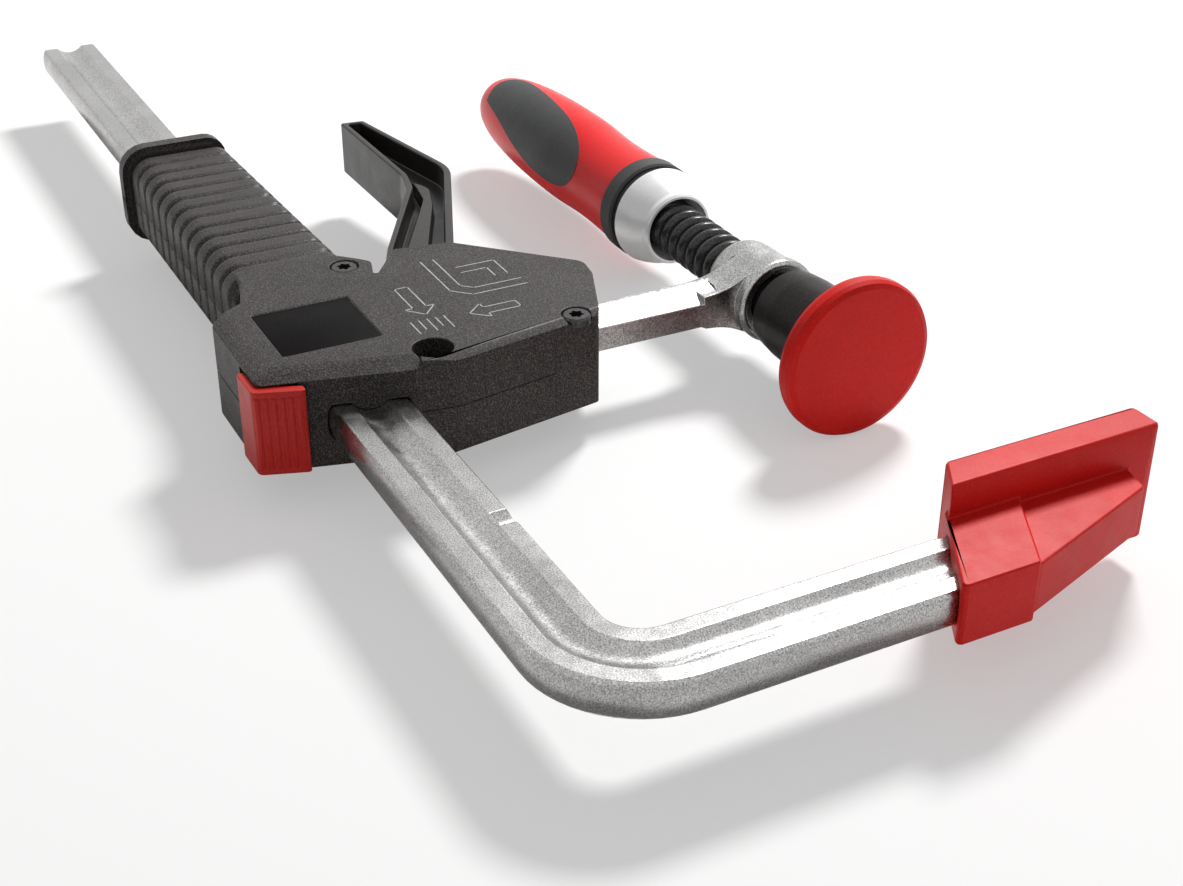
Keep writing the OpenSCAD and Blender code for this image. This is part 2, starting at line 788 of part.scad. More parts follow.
// The turned outline, moved inwards along its own normals.
function handle_profile(inset) =
    let (p = through(handle_keys, 5), m = len(p) - 1)
    [for (i = [0 : m])
        let (t = p[min(i + 1, m)] - p[max(i - 1, 0)], u = t / norm(t))
        [p[i][0] - inset * u[1], max(p[i][1] + inset * u[0], 0)]];

// Leaning leaf outline of one inlay, seen square on.
leaf_keys = [[-285, -2.6], [-268, -5.8], [-254.8, -9.4], [-241.4, -12.3], [-229, -13.2],
    [-219, -12.7], [-210.5, -10.6], [-205.6, -6], [-207.2, 0], [-214, 5], [-226, 9],
    [-242, 11.2], [-264, 12.4], [-280, 11.4], [-287, 6]];
leaf = through(concat(leaf_keys, [leaf_keys[0]]), 3);

module leaf_prism() {
    on_spindle()
        for (turn = [0, 180])
            rotate([inlay_turn + turn, 0, 0])
                band(4, 30)
                    polygon(leaf);
}

module handle_solid(inset) {
    turned(concat([[ring_back_x, 0]], handle_profile(inset), [[handle_end_x + inset, 0]]));
}

module handle_core() {
    color([0.85, 0.09, 0.1])
        difference() {
            handle_solid(0);
            intersection() {
                difference() {
                    handle_solid(-1);
                    handle_solid(inlay_depth);
                }
                leaf_prism();
            }
            on_spindle()
                rod_x(tang_back_x - 0.1, ring_back_x + 1, tang_r + seat_gap);
        }
}

module handle_inlays() {
    color([0.22, 0.23, 0.23])
        intersection() {
            difference() {
                handle_solid(-inlay_rise);
                handle_solid(inlay_depth);
            }
            leaf_prism();
        }
}

seat_r = ball_r + 0.08;
seat_out_r = seat_r + 1.6;
socket_r = seat_out_r + 0.08;

// Spherical shell about the ball's centre, between two angles from the spindle axis.
module ball_shell(r0, r1, a0, a1) {
    n = 10;
    translate([ball_x, spindle_y, 0])
        rotate([0, 90, 0])
            rotate_extrude()
                polygon(concat(
                    [for (i = [0 : n]) let (a = a0 + (a1 - a0) * i / n) r0 * [sin(a), cos(a)]],
                    [for (i = [0 : n]) let (a = a1 + (a0 - a1) * i / n) r1 * [sin(a), cos(a)]]));
}

module ball_seat() {
    color([0.75, 0.62, 0.32])
        ball_shell(seat_r, seat_out_r, 20, 76);
}

module retaining_ring() {
    color([0.6, 0.6, 0.6])
        ball_shell(seat_r, seat_out_r, 96, 120);
}

foot_back_x = -90.4;
foot_front_x = -54.2;
flange_r = 20;
flange_t = 3;
module swivel_foot() {
    color([0.1, 0.1, 0.11])
        difference() {
            turned([[foot_back_x, 0], [foot_back_x, 12.2], [foot_back_x + 0.8, 12.9],
                [-82, 13.7], [-70, 14], [foot_front_x - flange_t, 14.2],
                [foot_front_x - flange_t, flange_r], [foot_front_x, flange_r], [foot_front_x, 0]]);
            translate([ball_x, spindle_y, 0])
                rotate([0, 90, 0])
                    sphere(r = socket_r);
            turned([[foot_back_x - 1, 0], [foot_back_x - 1, 10.8], [ball_x - 6, 6.8], [ball_x, 6.8],
                [ball_x, 0]]);
        }
}

pad_back_x = foot_front_x - flange_t - 0.9;
module pad_cap() {
    color([0.82, 0.08, 0.08])
        difference() {
            turned([[pad_back_x, 0], [pad_back_x, pad_r - 1.2], [pad_back_x + 0.8, pad_r - 0.3],
                [pad_back_x + 2, pad_r], [pad_face_x - 2, pad_r],
                [pad_face_x - 0.7, pad_r - 0.7], [pad_face_x, pad_r - 2.2], [pad_face_x, 0]]);
            // snap cavity for the foot's flange behind a lip
            on_spindle()
                rod_x(foot_front_x - flange_t - seat_gap, foot_front_x + seat_gap,
                    flange_r + seat_gap);
            on_spindle()
                rod_x(pad_back_x - 1, foot_front_x - 1, flange_r - 1.5);
        }
}

// ---- nodes -----------------------------------------------------------------

place() rail();
place() jaw_cap();
place() housing_upper();
place() housing_lower();
place() grip_bush();
place() sliding_arm();
place() housing_screws();
place() trigger_pin();
place() release_pin();
place() drive_plates();
place() drive_springs();
place() lock_plate();
place() lock_spring();
place() trigger_lever();
place() drive_pin();
place() release_lever();
place() spindle();
place() handle_ferrule();
place() handle_washer();
place() handle_ring();
place() handle_core();
place() handle_inlays();
place() ball_seat();
place() retaining_ring();
place() swivel_foot();
place() pad_cap();
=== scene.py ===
import bpy, bmesh, json, math
from mathutils import Vector, Matrix

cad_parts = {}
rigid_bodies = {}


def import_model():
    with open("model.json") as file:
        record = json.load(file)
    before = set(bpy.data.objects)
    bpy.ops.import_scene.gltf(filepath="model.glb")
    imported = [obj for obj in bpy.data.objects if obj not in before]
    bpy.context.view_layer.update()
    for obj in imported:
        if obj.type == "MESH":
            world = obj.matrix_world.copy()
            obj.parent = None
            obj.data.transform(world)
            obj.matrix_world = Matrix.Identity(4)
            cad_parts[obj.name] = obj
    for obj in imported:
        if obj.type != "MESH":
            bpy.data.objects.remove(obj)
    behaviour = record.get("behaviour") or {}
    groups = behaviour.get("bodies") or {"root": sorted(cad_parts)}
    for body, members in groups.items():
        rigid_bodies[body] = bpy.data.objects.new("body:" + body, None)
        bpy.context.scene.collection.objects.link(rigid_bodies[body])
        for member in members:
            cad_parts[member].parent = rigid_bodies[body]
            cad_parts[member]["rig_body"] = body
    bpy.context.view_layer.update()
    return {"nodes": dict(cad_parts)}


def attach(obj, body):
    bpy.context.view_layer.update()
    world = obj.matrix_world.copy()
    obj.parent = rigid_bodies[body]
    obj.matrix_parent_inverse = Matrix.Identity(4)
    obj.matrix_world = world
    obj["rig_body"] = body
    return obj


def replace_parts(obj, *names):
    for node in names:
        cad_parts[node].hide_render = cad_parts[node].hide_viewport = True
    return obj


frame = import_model()
scene = bpy.context.scene
print("frame loaded")

# the clamp's drawing in mm: x along the rail, y towards the spindle, z from the mid-plane
perMetre = 1000
origin = {"x": -180.8, "y": 67.15, "z": -24.6}  # where the frame has its zero
spindleY = 136.6


def spot(x, y, z):
    return Vector((x - origin["x"], y - origin["y"], z - origin["z"])) / perMetre


def drawn(v):  # a vertex's place in the drawing
    return [v.co[i] * perMetre + origin["xyz"[i]] for i in range(3)]


# every finish is grain, clouding, uneven gloss and a fine bump on Object coordinates
noises = {"rough": 0.6, "grainDetail": 3.0, "cloudDetail": 4.0, "cloudsAt": (0.3, 0.7),
          "glossScale": 3.1, "glossDetail": 5.0, "glossAt": (0.25, 0.75),
          "bumpScale": 0.8, "bumpDetail": 2.0}
usual = {"fleckAt": (0.42, 0.72), "metal": 0.0, "shine": 0.5}  # where a finish says nothing else


def finish(name, own):
    look = {**usual, **own}
    material = bpy.data.materials.new(name)
    material.use_nodes = True
    nodes, links = material.node_tree.nodes, material.node_tree.links
    shader = nodes["Principled BSDF"]
    place = nodes.new("ShaderNodeTexCoord")

    def noise(scale, detail):
        n = nodes.new("ShaderNodeTexNoise")
        n.inputs["Scale"].default_value = scale
        n.inputs["Detail"].default_value = detail
        n.inputs["Roughness"].default_value = noises["rough"]
        links.new(place.outputs["Object"], n.inputs["Vector"])
        return n.outputs["Fac"]

    def ramp(source, span, low, high):
        r = nodes.new("ShaderNodeValToRGB")
        first, last = r.color_ramp.elements
        first.position, last.position = span
        first.color, last.color = (*low, 1), (*high, 1)
        links.new(source, r.inputs["Fac"])
        return r.outputs["Color"]

    grain = noise(look["grain"], noises["grainDetail"])
    clouds = noise(look["clouds"], noises["cloudDetail"])
    flecks = ramp(grain, look["fleckAt"], look["base"], look["fleck"])
    shade = ramp(clouds, noises["cloudsAt"], (look["dim"],) * 3, (1, 1, 1))
    mix = nodes.new("ShaderNodeMix")
    mix.data_type, mix.blend_type = "RGBA", "MULTIPLY"
    mix.inputs["Factor"].default_value = 1.0
    links.new(flecks, mix.inputs["A"])
    links.new(shade, mix.inputs["B"])
    links.new(mix.outputs["Result"], shader.inputs["Base Color"])

    rough = nodes.new("ShaderNodeMapRange")
    rough.inputs["From Min"].default_value, rough.inputs["From Max"].default_value = noises["glossAt"]
    rough.inputs["To Min"].default_value, rough.inputs["To Max"].default_value = look["rough"]
    links.new(noise(look["clouds"] * noises["glossScale"], noises["glossDetail"]), rough.inputs["Value"])
    links.new(rough.outputs["Result"], shader.inputs["Roughness"])

    bump = nodes.new("ShaderNodeBump")
    bump.inputs["Strength"].default_value = look["bump"]
    bump.inputs["Distance"].default_value = look["depth"]
    links.new(noise(look["grain"] * noises["bumpScale"], noises["bumpDetail"]), bump.inputs["Height"])
    links.new(bump.outputs["Normal"], shader.inputs["Normal"])

    shader.inputs["Metallic"].default_value = look["metal"]
    shader.inputs["Specular IOR Level"].default_value = look["shine"]
    return material


finishes = {
    "zincRail": {"base": (0.25, 0.245, 0.24), "fleck": (0.66, 0.655, 0.65), "grain": 2600,
                 "clouds": 60, "fleckAt": (0.36, 0.66), "dim": 0.8, "rough": (0.20, 0.34),
                 "bump": 0.5, "depth": 0.00004, "metal": 1.0},
    "platedForging": {"base": (0.22, 0.22, 0.215), "fleck": (0.66, 0.66, 0.65), "grain": 2500,
                      "clouds": 80, "fleckAt": (0.38, 0.66), "dim": 0.72, "rough": (0.22, 0.42),
                      "bump": 0.8, "depth": 0.00007, "metal": 1.0},
    "housingBlack": {"base": (0.011, 0.008, 0.007), "fleck": (0.17, 0.155, 0.145), "grain": 2300,
                     "clouds": 45, "fleckAt": (0.46, 0.74), "dim": 0.75, "rough": (0.36, 0.5),
                     "bump": 0.5, "depth": 0.00006, "shine": 0.2},
    "bushBlack": {"base": (0.009, 0.008, 0.008), "fleck": (0.03, 0.03, 0.031), "grain": 1400,
                  "clouds": 60, "dim": 0.8, "rough": (0.35, 0.5),
                  "bump": 0.2, "depth": 0.00003, "shine": 0.25},
    "triggerBlack": {"base": (0.010, 0.008, 0.007), "fleck": (0.06, 0.052, 0.048), "grain": 2200,
                     "clouds": 50, "fleckAt": (0.48, 0.74), "dim": 0.8, "rough": (0.26, 0.4),
                     "bump": 0.3, "depth": 0.00004, "shine": 0.3},
    "leverRed": {"base": (0.50, 0.012, 0.008), "fleck": (0.60, 0.03, 0.02), "grain": 1800,
                 "clouds": 60, "dim": 0.85, "rough": (0.3, 0.42),
                 "bump": 0.2, "depth": 0.00004, "shine": 0.22},
    "capRed": {"base": (0.62, 0.008, 0.006), "fleck": (0.70, 0.024, 0.018), "grain": 1700,
               "clouds": 50, "dim": 0.88, "rough": (0.36, 0.5),
               "bump": 0.3, "depth": 0.00005, "shine": 0.15},
    "handleRed": {"base": (0.76, 0.010, 0.012), "fleck": (0.80, 0.018, 0.02), "grain": 1200,
                  "clouds": 30, "dim": 0.9, "rough": (0.28, 0.38),
                  "bump": 0.1, "depth": 0.00003, "shine": 0.15},
    "softInlay": {"base": (0.034, 0.036, 0.035), "fleck": (0.052, 0.054, 0.053), "grain": 1900,
                  "clouds": 40, "dim": 0.85, "rough": (0.5, 0.62),
                  "bump": 0.3, "depth": 0.00005, "shine": 0.3},
    "ferruleSatin": {"base": (0.82, 0.82, 0.82), "fleck": (0.88, 0.88, 0.88), "grain": 1200,
                     "clouds": 60, "dim": 0.97, "rough": (0.26, 0.36),
                     "bump": 0.1, "depth": 0.00003, "metal": 0.15},
    "threadBlack": {"base": (0.028, 0.027, 0.027), "fleck": (0.09, 0.09, 0.09), "grain": 1800,
                    "clouds": 120, "dim": 0.8, "rough": (0.22, 0.36),
                    "bump": 0.3, "depth": 0.00004, "metal": 0.5, "shine": 0.3},
    "footBlack": {"base": (0.009, 0.007, 0.006), "fleck": (0.04, 0.035, 0.032), "grain": 2000,
                  "clouds": 60, "fleckAt": (0.48, 0.74), "dim": 0.8, "rough": (0.28, 0.44),
                  "bump": 0.3, "depth": 0.00005, "shine": 0.12},
    "blackOxide": {"base": (0.035, 0.034, 0.034), "fleck": (0.10, 0.10, 0.10), "grain": 1600,
                   "clouds": 120, "dim": 0.75, "rough": (0.25, 0.4),
                   "bump": 0.3, "depth": 0.00004, "metal": 0.7},
    "groundSteel": {"base": (0.50, 0.50, 0.50), "fleck": (0.66, 0.66, 0.66), "grain": 1500,
                    "clouds": 100, "dim": 0.85, "rough": (0.25, 0.38),
                    "bump": 0.2, "depth": 0.00003, "metal": 1.0},
    "bronzeSeat": {"base": (0.50, 0.36, 0.15), "fleck": (0.62, 0.48, 0.22), "grain": 1500,
                   "clouds": 90, "dim": 0.8, "rough": (0.35, 0.5),
                   "bump": 0.3, "depth": 0.00004, "metal": 1.0},
    "labelBlack": {"base": (0.005, 0.004, 0.004), "fleck": (0.010, 0.009, 0.009), "grain": 1900,
                   "clouds": 40, "dim": 0.8, "rough": (0.5, 0.6),
                   "bump": 0.1, "depth": 0.00002, "shine": 0.03},
    "printWhite": {"base": (0.34, 0.34, 0.33), "fleck": (0.60, 0.60, 0.59), "grain": 1500,
                   "clouds": 80, "dim": 0.85, "rough": (0.5, 0.6),
                   "bump": 0.2, "depth": 0.00003, "shine": 0.3},
}
paint = {name: finish(name, look) for name, look in finishes.items()}
print("finishes made")

# the finish that each CAD piece carries
wears = {
    "rail": "zincRail", "jaw_cap": "capRed",
    "housing_upper": "housingBlack", "housing_lower": "housingBlack", "housing_screws": "blackOxide",
    "grip_bush": "bushBlack", "sliding_arm": "platedForging",
    "trigger_lever": "triggerBlack", "trigger_pin": "groundSteel",
    "release_lever": "leverRed", "release_pin": "groundSteel",
    "drive_plates": "blackOxide", "drive_pin": "groundSteel", "drive_springs": "groundSteel",
    "lock_plate": "blackOxide", "lock_spring": "groundSteel",
    "spindle": "threadBlack", "handle_ferrule": "ferruleSatin", "handle_washer": "bushBlack",
    "handle_ring": "softInlay", "handle_core": "handleRed", "handle_inlays": "softInlay",
    "ball_seat": "bronzeSeat", "retaining_ring": "groundSteel",
    "swivel_foot": "footBlack", "pad_cap": "capRed",
}
for node, worn in wears.items():
    for slot in frame["nodes"][node].material_slots:
        slot.material = paint[worn]
bodyOf = {n.name: n["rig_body"] for n in frame["nodes"].values()}


def piece(name, bm, worn, body, smooth=35):
    bmesh.ops.recalc_face_normals(bm, faces=bm.faces)
    mesh = bpy.data.meshes.new(name)
    bm.to_mesh(mesh)
    bm.free()
    thing = bpy.data.objects.new(name, mesh)
    scene.collection.objects.link(thing)
    mesh.materials.append(paint[worn])
    mesh.shade_smooth()
    mesh.set_sharp_from_angle(angle=math.radians(smooth))
    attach(thing, body)
    return thing


# edges of more degrees than "sharp" are rounded, after faces within "flat" are joined, lengths in mm
rounding = {"sharp": 30, "flat": 0.6, "segments": 2, "merge": 0.002, "weight": 100}


def sharpEdges(bm):
    limit = math.radians(rounding["sharp"])
    return [e for e in bm.edges if len(e.link_faces) == 2 and e.calc_face_angle(0) > limit]


def roundOff(bm, edges, width):
    bmesh.ops.bevel(bm, geom=edges, offset=width / perMetre, offset_type="OFFSET",
                    segments=rounding["segments"], profile=0.5, affect="EDGES", material=-1)


# a copy of a CAD piece with rounded edges, all of them or those whose two ends `only` picks
def softened(node, name, width, only=None, reshape=None):
    bm = bmesh.new()
    bm.from_mesh(frame["nodes"][node].data)
    bmesh.ops.remove_doubles(bm, verts=bm.verts, dist=rounding["merge"] / perMetre)
    if reshape:
        reshape(bm)
    bmesh.ops.dissolve_limit(bm, angle_limit=math.radians(rounding["flat"]), verts=bm.verts,
                             edges=bm.edges)
    edges = sharpEdges(bm)
    if only:
        edges = [e for e in edges if all(only(*drawn(v)) for v in e.verts)]
    roundOff(bm, edges, width)
    thing = piece(name, bm, wears[node], bodyOf[node])
    flat = thing.modifiers.new("flatFaces", "WEIGHTED_NORMAL")
    flat.keep_sharp, flat.weight = True, rounding["weight"]
    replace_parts(thing, node)


softPieces = {"jaw_cap": ("jawCapSoft", 0.6), "trigger_lever": ("triggerSoft", 0.6),
              "rail": ("railSoft", 0.4), "release_lever": ("releaseLeverSoft", 0.25)}
for node, (name, width) in softPieces.items():
    softened(node, name, width)

# the forged arm keeps the rims of its threaded bore
arm = {"bore": 9.8, "edge": 0.4}


def outsideBore(x, y, z):
    return math.hypot(y - spindleY, z) > arm["bore"]


softened("sliding_arm", "slidingArmSoft", arm["edge"], only=outsideBore)

# the shells are rounded along the rims of their wide faces in front of the grip, but for the strip
# over the release lever's window, and along the parting line of the lever's side and the front
shell = {"edge": 0.4, "rimX": -156.3, "rimZ": 13, "stripX": -97, "stripY": 12, "stripZ": 13.5,
         "lineZ": 0.05, "leverSideY": -28, "frontX": -90, "frontLow": 12.1, "frontHigh": 63.6}

# the grip's skin has broad rounded ribs between narrow grooves, and comes in on the trigger's side
# towards the rear end, as the shells do behind taperX
grip = {"from": -264.4, "to": -155.2, "first": -263.5, "pitch": 8.3077, "ribs": 13, "steps": 14,
        "land": 0.95, "groove": -0.05, "crest": 0.55, "power": 2.2,
        "half": 13.6, "near": -15.5, "far": 15.7, "corner": 6.8, "farCorner": 4.3, "cornerSteps": 8,
        "end": -270.0, "taper": 0.033, "taperX": -225, "taperY": 12, "taperIn": 1.5,
        "wall": 1.2, "seam": 0.3, "smooth": 60}


def outerRim(x, y, z):
    s = shell
    strip = x > s["stripX"] and y < s["stripY"] and abs(z) < s["stripZ"]
    rim = x > s["rimX"] and abs(z) > s["rimZ"] and not strip
    front = x > s["frontX"] and s["frontLow"] < y < s["frontHigh"]
    return rim or (abs(z) < s["lineZ"] and (y < s["leverSideY"] or front))


def taperShell(bm):
    for v in bm.verts:
        x, y = drawn(v)[:2]
        if x < grip["taperX"] and y > grip["taperY"]:
            v.co.y -= (grip["taperIn"] - grip["taper"] * (x - grip["end"])) / perMetre


for node, name in (("housing_upper", "upperShellSoft"), ("housing_lower", "lowerShellSoft")):
    softened(node, name, shell["edge"], only=outerRim, reshape=taperShell)
print("edges rounded")


def gripRise(x):
    g = grip
    along = (x - g["first"]) / g["pitch"]
    if along < 0 or along > g["ribs"]:
        return g["groove"]
    away = abs(along - math.floor(along) - 0.5) * 2  # 0 on a rib's crest, 1 in a groove
    fall = max(0.0, (away - g["crest"]) / (1 - g["crest"])) ** g["power"]
    return g["groove"] + (g["land"] - g["groove"]) * (1 - fall)


# the outline across the grip, with a notch on both sides for the parting line
def gripLine(x):
    g, rise = grip, gripRise(x)
    half, near = g["half"] + rise, g["near"] - rise
    far = g["far"] + g["taper"] * (x - g["end"]) + rise
    line = []
    for y, z, r, start in ((near, -half, g["corner"], 180), (far, -half, g["farCorner"], 270),
                           (far, half, g["farCorner"], 0), (near, half, g["corner"], 90)):
        cy, cz = y + math.copysign(r, -y), z + math.copysign(r, -z)
        for i in range(g["cornerSteps"] + 1):
            a = math.radians(start + 90 * i / g["cornerSteps"])
            line.append((cy + r * math.cos(a), cz + r * math.sin(a)))
        if y == far and z < 0:
            line += [(far, -g["seam"]), (far - g["seam"], 0), (far, g["seam"])]
    line += [(near, g["seam"]), (near + g["seam"], 0), (near, -g["seam"])]
    return [spot(x, y, z) for y, z in line]


def gripSkin():
    g = grip
    bm = bmesh.new()
    count = g["ribs"] * g["steps"]
    rings = [gripLine(g["from"] + (g["to"] - g["from"]) * i / count) for i in range(count + 1)]
    loop = [bm.verts.new(p) for p in rings[0]]
    edges = [bm.edges.new((a, b)) for a, b in zip(loop, loop[1:] + loop[:1])]
    for ring in rings[1:]:
        new = bmesh.ops.extrude_edge_only(bm, edges=edges)["geom"]
        fresh = {v for v in new if isinstance(v, bmesh.types.BMVert)}
        loop = [next(e.other_vert(v) for e in v.link_edges if e.other_vert(v) in fresh) for v in loop]
        for v, p in zip(loop, ring):
            v.co = p
        edges = [e for e in new if isinstance(e, bmesh.types.BMEdge) and fresh.issuperset(e.verts)]
    bmesh.ops.recalc_face_normals(bm, faces=bm.faces)
    bmesh.ops.solidify(bm, geom=bm.faces[:], thickness=g["wall"] / perMetre)
    return bm


piece("gripSkin", gripSkin(), "housingBlack", "carriage", grip["smooth"])
print("grip ribbed")

# upright ridges on the release lever's front face, each a round bar sunk into it
ridges = {"from": (-85.9, -19.0), "to": (-89.5, -29.4), "count": 6, "r": 1.0, "sides": 24,
          "sunk": 0.62, "tall": 21.4, "edge": 0.3}


def leverRidges():
    bm = bmesh.new()
    radius = ridges["r"] / perMetre
    start, end = spot(*ridges["from"], 0), spot(*ridges["to"], 0)
    along = (end - start).normalized()
    inward = Vector((along.y, -along.x, 0))
    for i in range(ridges["count"]):
        centre = start.lerp(end, i / (ridges["count"] - 1)) + inward * ridges["sunk"] / perMetre
        bmesh.ops.create_cone(bm, cap_ends=True, segments=ridges["sides"], radius1=radius,
                              radius2=radius, depth=ridges["tall"] / perMetre,
                              matrix=Matrix.Translation(centre))
    roundOff(bm, sharpEdges(bm), ridges["edge"])
    return bm


piece("leverRidges", leverRidges(), "leverRed", bodyOf["release_lever"])
print("release lever ridged")

# one trapezoid ridge with broken crest edges, wound at the screw's pitch from below the root
thread = {"pitch": 5.5, "from": -176.0, "to": -97.5, "crest": 8.9, "root": 7.1, "cut": 6.9,
          "crestWidth": 1.5, "rootWidth": 4.2, "edgeIn": 0.2, "edgeOut": 0.3, "edgeDown": 0.35,
          "steps": 48, "smooth": 40}


def threadRidge():
    t = thread
    bm = bmesh.new()
    turns = (t["to"] - t["from"] - t["rootWidth"]) / t["pitch"]
    steps = int(turns * t["steps"])
    foot, top = t["rootWidth"] / 2, t["crestWidth"] / 2
    flank = [(foot, t["cut"]), (foot, t["root"]), (top + t["edgeOut"], t["crest"] - t["edgeDown"]),
             (top - t["edgeIn"], t["crest"])]
    corners = [(-x, r) for x, r in flank] + flank[::-1]
    start = t["from"] + t["rootWidth"] / 2
    face = bm.faces.new([bm.verts.new(spot(start + x, spindleY, r)) for x, r in corners])
    bmesh.ops.spin(bm, geom=[face], cent=spot(0, spindleY, 0), axis=(1, 0, 0),
                   angle=-turns * 2 * math.pi, dvec=(turns * t["pitch"] / perMetre / steps, 0, 0),
                   steps=steps, use_merge=False)
    return bm


piece("threadRidge", threadRidge(), "threadBlack", "spindle", thread["smooth"])

# the rod under the ridge, thinner than the CAD rod by the thread's depth, with its neck and ball
rod = {"line": ((-280, 0), (-280, 5), (-279, 6), (-178, 6), (-178, 7.1), (-97, 7.1), (-96, 6.6),
                (-96, 4.5), (-79, 4.5)),
       "ballX": -72, "ballR": 7.5, "ballFrom": 40, "ballStep": 7, "steps": 72, "merge": 0.001}


def turnedRod():
    bm = bmesh.new()
    angles = [math.radians(a) for a in range(rod["ballFrom"], 180, rod["ballStep"])]
    ball = [(rod["ballX"] - rod["ballR"] * math.cos(a), rod["ballR"] * math.sin(a)) for a in angles]
    line = [*rod["line"], *ball, (rod["ballX"] + rod["ballR"], 0)]
    verts = [bm.verts.new(spot(x, spindleY, r)) for x, r in line]
    for a, b in zip(verts, verts[1:]):
        bm.edges.new((a, b))
    bmesh.ops.spin(bm, geom=list(bm.edges) + list(bm.verts), cent=spot(0, spindleY, 0),
                   axis=(1, 0, 0), angle=2 * math.pi, steps=rod["steps"], use_merge=True)
    bmesh.ops.remove_doubles(bm, verts=bm.verts, dist=rod["merge"] / perMetre)
    return bm


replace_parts(piece("spindleRod", turnedRod(), "threadBlack", "spindle"), "spindle")
print("spindle threaded")


# a box about a centre, with its first side turned to lie along a way in the x-y plane
def addBox(bm, centre, size, way=Vector((1, 0, 0))):
    turn = Matrix.Rotation(math.atan2(way.y, way.x), 4, "Z")
    scale = Matrix.Diagonal((*size, 1))
    bmesh.ops.create_cube(bm, size=1, matrix=Matrix.Translation(centre) @ turn @ scale)


# wall in front of the corner screw's shank, where the shells are open
cornerWall = {"from": (-84.8, 55.5), "to": (-86.5, 66.2), "low": -13.6, "high": 12.7,
              "thick": 0.5, "out": 0.05}


def cornerWallSlab():
    w = cornerWall
    bm = bmesh.new()
    middle = (w["low"] + w["high"]) / 2
    start, end = spot(*w["from"], middle), spot(*w["to"], middle)
    way = end - start
    outward = Vector((way.y, -way.x, 0)).normalized()
    centre = (start + end) / 2 + outward * (w["out"] - w["thick"] / 2) / perMetre
    addBox(bm, centre, (way.length, w["thick"] / perMetre, (w["high"] - w["low"]) / perMetre), way)
    return bm


piece("cornerWall", cornerWallSlab(), "housingBlack", "carriage")

# bare label panel in the housing's recess
label = {"x": (-128.3, -100.7), "y": (-17.8, 10.3), "z": (14.95, 15.25), "edge": 0.1}


def labelPanel():
    bm = bmesh.new()
    low, high = (spot(*(label[axis][i] for axis in "xyz")) for i in (0, 1))
    addBox(bm, (low + high) / 2, high - low)
    roundOff(bm, bm.edges[:], label["edge"])
    return bm


piece("labelPanel", labelPanel(), "labelBlack", "carriage")

# plain line pictogram of arrows, a bent bar and a gauge, half sunk into the housing's face
pictogram = {"z": 15.5, "rise": 0.05, "line": 0.42, "strokes": (
    ((-126, 24), (-112, 24), (-112, 21.5), (-107, 26), (-112, 30.5), (-112, 28), (-126, 28), (-126, 24)),
    ((-100, 52), (-100, 42), (-97.5, 42), (-102, 37), (-106.5, 42), (-104, 42), (-104, 52), (-100, 52)),
    ((-140, 38), (-118, 38), (-113, 43), (-113, 60)), ((-140, 42), (-120, 42), (-117, 45), (-117, 60)),
    ((-132, 46), (-132, 58), (-122, 58)), ((-128, 46), (-128, 54), (-122, 54)),
    ((-104, 20), (-96.5, 20)), ((-104, 22.5), (-98.5, 22.5)), ((-104, 25), (-96.5, 25)),
    ((-104, 27.5), (-98.5, 27.5)), ((-104, 30), (-96.5, 30)))}


def pictogramLines():
    bm = bmesh.new()
    wide, rise = pictogram["line"] / perMetre, pictogram["rise"] / perMetre
    for stroke in pictogram["strokes"]:
        for start, end in zip(stroke, stroke[1:]):
            a, b = spot(*start, pictogram["z"]), spot(*end, pictogram["z"])
            addBox(bm, (a + b) / 2, ((b - a).length + wide, wide, 2 * rise), b - a)
    return bm


piece("pictogram", pictogramLines(), "printWhite", "carriage")

# the housing's screws, with a lobed socket in the head
screw = {"places": ((-88.6, 63.8, 15.3), (-148, 17, 15.3), (-87.6, 19.8, 8.1)), "foot": -12.3,
         "shank": 2.5, "head": 4.2, "tall": 2.4, "edge": 0.6,
         "lobes": 6, "lobe": 2.2, "waist": 1.6, "deep": 1.5, "steps": 48}


# up the shank, over the head and down into the socket, whose rings follow the lobes
def addScrew(bm, x, y, top):
    s = screw
    loops = []
    for radius, z in ((s["shank"], s["foot"]), (s["shank"], top - s["tall"]),
                      (s["head"], top - s["tall"]), (s["head"], top - s["edge"]),
                      (s["head"] - s["edge"], top), (None, top), (None, top - s["deep"])):
        ring = []
        for i in range(s["steps"]):
            a = 2 * math.pi * i / s["steps"]
            swell = 0.5 + 0.5 * math.cos(s["lobes"] * a)  # 1 on a lobe, 0 between two
            r = radius or s["waist"] + (s["lobe"] - s["waist"]) * swell
            ring.append(bm.verts.new(spot(x + r * math.cos(a), y + r * math.sin(a), z)))
        if not loops:
            bm.faces.new(ring)
        ends = [(ring[i - 1], ring[i]) for i in range(s["steps"])]
        loops.append([bm.edges.get(pair) or bm.edges.new(pair) for pair in ends])
    bm.faces.new(ring)
    for low, high in zip(loops, loops[1:]):
        bmesh.ops.bridge_loops(bm, edges=low + high)


screws = bmesh.new()
for place in screw["places"]:
    addScrew(screws, *place)
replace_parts(piece("housingScrews", screws, "blackOxide", "carriage"), "housing_screws")
print("label, pictogram and screws set")

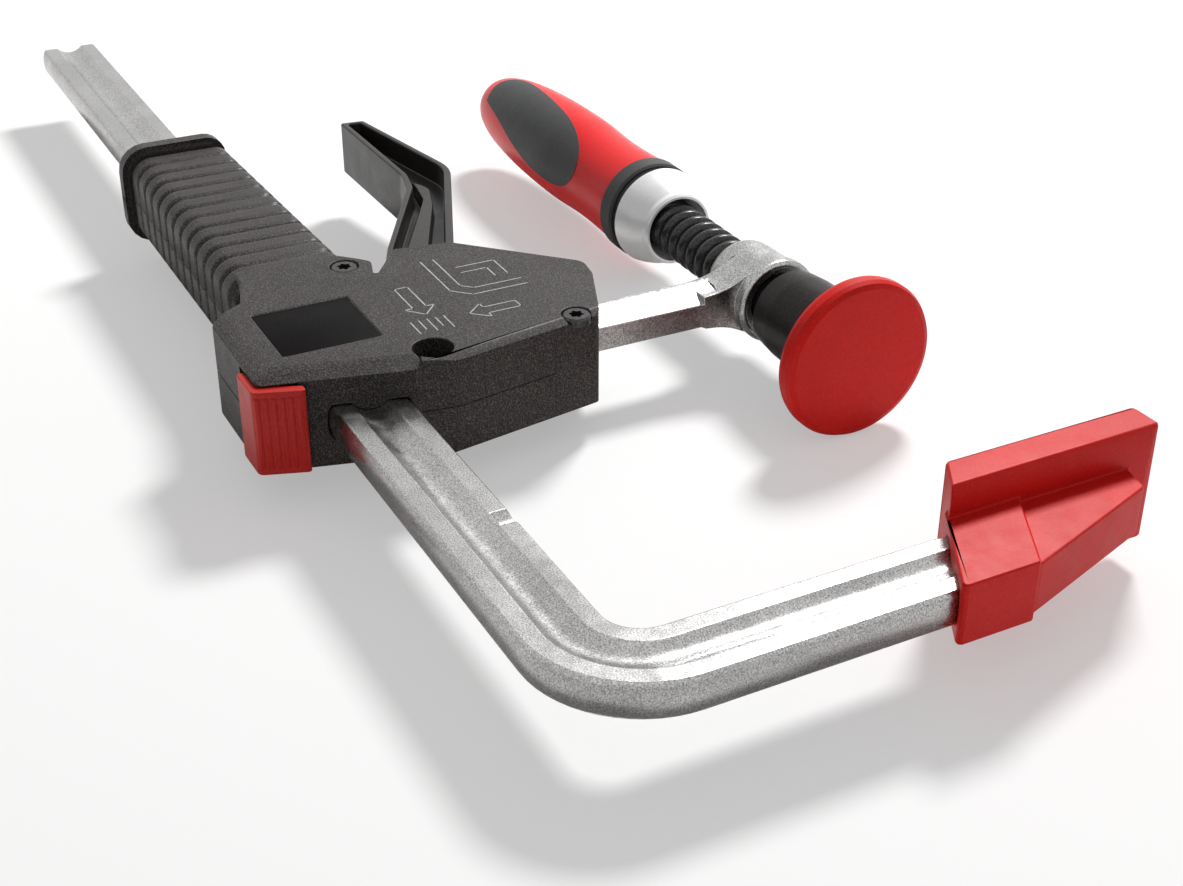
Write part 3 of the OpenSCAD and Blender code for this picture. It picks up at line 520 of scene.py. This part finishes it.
view = {"lens": 54.66, "place": (317.6, -141.4, 238.7), "forward": (-0.761, 0.424, -0.492),
        "right": (0.479, 0.877, 0.014), "shiftX": -0.0411, "shiftY": -0.0210, "nearest": 0.01}
camera = bpy.data.objects.new("camera", bpy.data.cameras.new("camera"))
scene.collection.objects.link(camera)
back = -Vector(view["forward"]).normalized()
right = (Vector(view["right"]) - back * Vector(view["right"]).dot(back)).normalized()
turn = Matrix((right, back.cross(right), back)).transposed().to_4x4()
camera.matrix_world = Matrix.Translation(spot(*view["place"])) @ turn
camera.data.lens = view["lens"]
camera.data.shift_x, camera.data.shift_y = view["shiftX"], view["shiftY"]
camera.data.clip_start = view["nearest"]
scene.camera = camera

light = {"aim": (-100, 60, 0), "sky": 0.31,
         "key": {"towards": (-0.50, 0.72, 1.0), "far": 1.3, "size": 0.30, "watts": 19},
         "fill": {"towards": (0.9, -0.5, 0.9), "far": 1.4, "size": 0.9, "watts": 0.6}}
for name in ("key", "fill"):
    lamp = light[name]
    data = bpy.data.lights.new(name, "AREA")
    data.shape, data.size, data.energy = "DISK", lamp["size"], lamp["watts"]
    thing = bpy.data.objects.new(name, data)
    scene.collection.objects.link(thing)
    way = Vector(lamp["towards"]).normalized()
    thing.location = spot(*light["aim"]) + way * lamp["far"]
    thing.rotation_euler = way.to_track_quat("Z", "Y").to_euler()


def freshNodes(owner, *kinds):
    owner.use_nodes = True
    tree = owner.node_tree
    tree.nodes.clear()
    return tree.links, [tree.nodes.new("ShaderNode" + kind) for kind in kinds]


# white to the camera, in reflections and through clear things, and dimmer where it lights
world = bpy.data.worlds.new("studio")
scene.world = world
links, (seen, lit, path, mirrored, clear, blend, out) = freshNodes(
    world, "Background", "Background", "LightPath", "Math", "Math", "MixShader", "OutputWorld")
seen.inputs["Color"].default_value = (1, 1, 1, 1)
lit.inputs["Color"].default_value = (1, 1, 1, 1)
lit.inputs["Strength"].default_value = light["sky"]
mirrored.operation = clear.operation = "MAXIMUM"
links.new(path.outputs["Is Camera Ray"], mirrored.inputs[0])
links.new(path.outputs["Is Glossy Ray"], mirrored.inputs[1])
links.new(mirrored.outputs[0], clear.inputs[0])
links.new(path.outputs["Is Transmission Ray"], clear.inputs[1])
links.new(clear.outputs[0], blend.inputs["Fac"])
links.new(lit.outputs[0], blend.inputs[1])
links.new(seen.outputs[0], blend.inputs[2])
links.new(blend.outputs[0], out.inputs["Surface"])

# pale floor that glows a little to the camera alone, lengths in metres
floor = {"colour": (0.92, 0.915, 0.91), "glow": 0.4, "size": 6, "drop": 0.0002}
ground = bpy.data.materials.new("paleFloor")
links, (matt, glow, path, share, blend, out) = freshNodes(
    ground, "BsdfDiffuse", "Emission", "LightPath", "Math", "MixShader", "OutputMaterial")
matt.inputs["Color"].default_value = (*floor["colour"], 1)
glow.inputs["Strength"].default_value = 1.0
share.operation = "MULTIPLY"
share.inputs[1].default_value = floor["glow"]
links.new(path.outputs["Is Camera Ray"], share.inputs[0])
links.new(share.outputs[0], blend.inputs["Fac"])
links.new(matt.outputs[0], blend.inputs[1])
links.new(glow.outputs[0], blend.inputs[2])
links.new(blend.outputs[0], out.inputs["Surface"])
bm = bmesh.new()
bmesh.ops.create_grid(bm, x_segments=1, y_segments=1, size=floor["size"])
bmesh.ops.translate(bm, vec=(0, 0, -floor["drop"]), verts=bm.verts)
mesh = bpy.data.meshes.new("floor")
bm.to_mesh(mesh)
bm.free()
plane = bpy.data.objects.new("floor", mesh)
scene.collection.objects.link(plane)
mesh.materials.append(ground)

scene.view_settings.view_transform = "Standard"
print("stage set")
